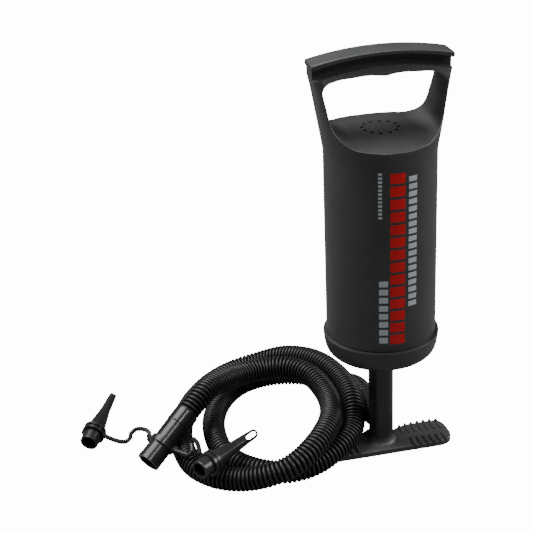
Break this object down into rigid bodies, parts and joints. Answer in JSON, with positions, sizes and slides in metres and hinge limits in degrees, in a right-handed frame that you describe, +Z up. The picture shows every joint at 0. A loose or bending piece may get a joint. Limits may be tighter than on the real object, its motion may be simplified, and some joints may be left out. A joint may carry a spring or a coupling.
{
  "type": "double-action hand air pump",
  "caption": "Upright double-action hand air pump: barrel with D-grip sliding on a hollow rod and foot plate, corrugated hose, nozzle with tethered adapters.",
  "frame": {"origin": "on the rod's axis at the underside of the foot plate", "axes": "+Z up the rod towards the grip, +X along the grip and the foot plate, -Y the labelled front"},
  "size_m": [0.3309, 0.2277, 0.3703],
  "materials": {
    "body_plastic": "satin",
    "grip_plastic": "satin",
    "foot_plastic": "satin",
    "rod_plastic": "satin",
    "hose_plastic": "semi-gloss",
    "cuff_plastic": "semi-gloss",
    "nozzle_plastic": "semi-gloss",
    "seal_rubber": "matt",
    "inner_plastic": "satin",
    "label_film": "satin",
    "screw_steel": "plain"
  },
  "bodies": {
    "root": {"foot_plate": "foot_plastic", "foot_screws": "screw_steel", "piston_rod": "rod_plastic", "port_oring": "seal_rubber", "hose_pump_cuff": "cuff_plastic", "hose": "hose_plastic", "hose_nozzle_cuff": "cuff_plastic", "piston_lower": "inner_plastic", "piston_upper": "inner_plastic", "piston_screws": "screw_steel", "seal_lower": "seal_rubber", "seal_upper": "seal_rubber"},
    "slider": {"rod_guide": "inner_plastic", "rod_seal": "seal_rubber"},
    "barrel": {"barrel_shell": "body_plastic", "grip_cover": "grip_plastic", "barrel_label": "label_film", "bottom_cap": "body_plastic", "cap_gasket": "seal_rubber", "guide_retainer": "inner_plastic", "intake_cage": "inner_plastic", "intake_cage_screw": "screw_steel"},
    "intake_valve": {"intake_disc": "seal_rubber"},
    "cap_valve": {"cap_disc": "seal_rubber"},
    "piston_valve_lower": {"piston_disc_lower": "seal_rubber"},
    "piston_valve_upper": {"piston_disc_upper": "seal_rubber"},
    "nozzle": {"nozzle_large": "nozzle_plastic"},
    "adapter_set_left": {"tether_left": "nozzle_plastic", "adapter_left": "nozzle_plastic"},
    "adapter_set_right": {"tether_right": "nozzle_plastic", "adapter_right": "nozzle_plastic"}
  },
  "joints": [
    {"name": "pump_stroke", "type": "slide", "parent": "root", "child": "slider", "axis": [0, 0, 1], "range_m": [-0.051, 0.096]},
    {"name": "barrel_turn", "type": "hinge", "parent": "slider", "child": "barrel", "pos_m": [0, 0, 0.1], "axis": [0, 0, 1], "continuous": true},
    {"name": "intake_disc_lift", "type": "slide", "parent": "barrel", "child": "intake_valve", "axis": [0, 0, 1], "range_m": [0, 0.0015]},
    {"name": "cap_disc_lift", "type": "slide", "parent": "barrel", "child": "cap_valve", "axis": [0, 0, 1], "range_m": [0, 0.0015]},
    {"name": "piston_disc_lower_lift", "type": "slide", "parent": "root", "child": "piston_valve_lower", "axis": [0, 0, 1], "range_m": [0, 0.0015]},
    {"name": "piston_disc_upper_lift", "type": "slide", "parent": "root", "child": "piston_valve_upper", "axis": [0, 0, 1], "range_m": [0, 0.0015]},
    {"name": "nozzle_pull_off", "type": "slide", "parent": "root", "child": "nozzle", "axis": [-0.7267, -0.5191, -0.4499], "range_m": [0, 0.011]},
    {"name": "adapter_left_lift", "type": "hinge", "parent": "nozzle", "child": "adapter_set_left", "pos_m": [-0.2062, 0.0291, 0.0235], "axis": [0.8137, 0.5812, 0], "range_deg": [0, 70]},
    {"name": "adapter_right_lift", "type": "hinge", "parent": "nozzle", "child": "adapter_set_right", "pos_m": [-0.1889, 0.0049, 0.0235], "axis": [-0.8137, -0.5812, 0], "range_deg": [0, 60]}
  ]
}
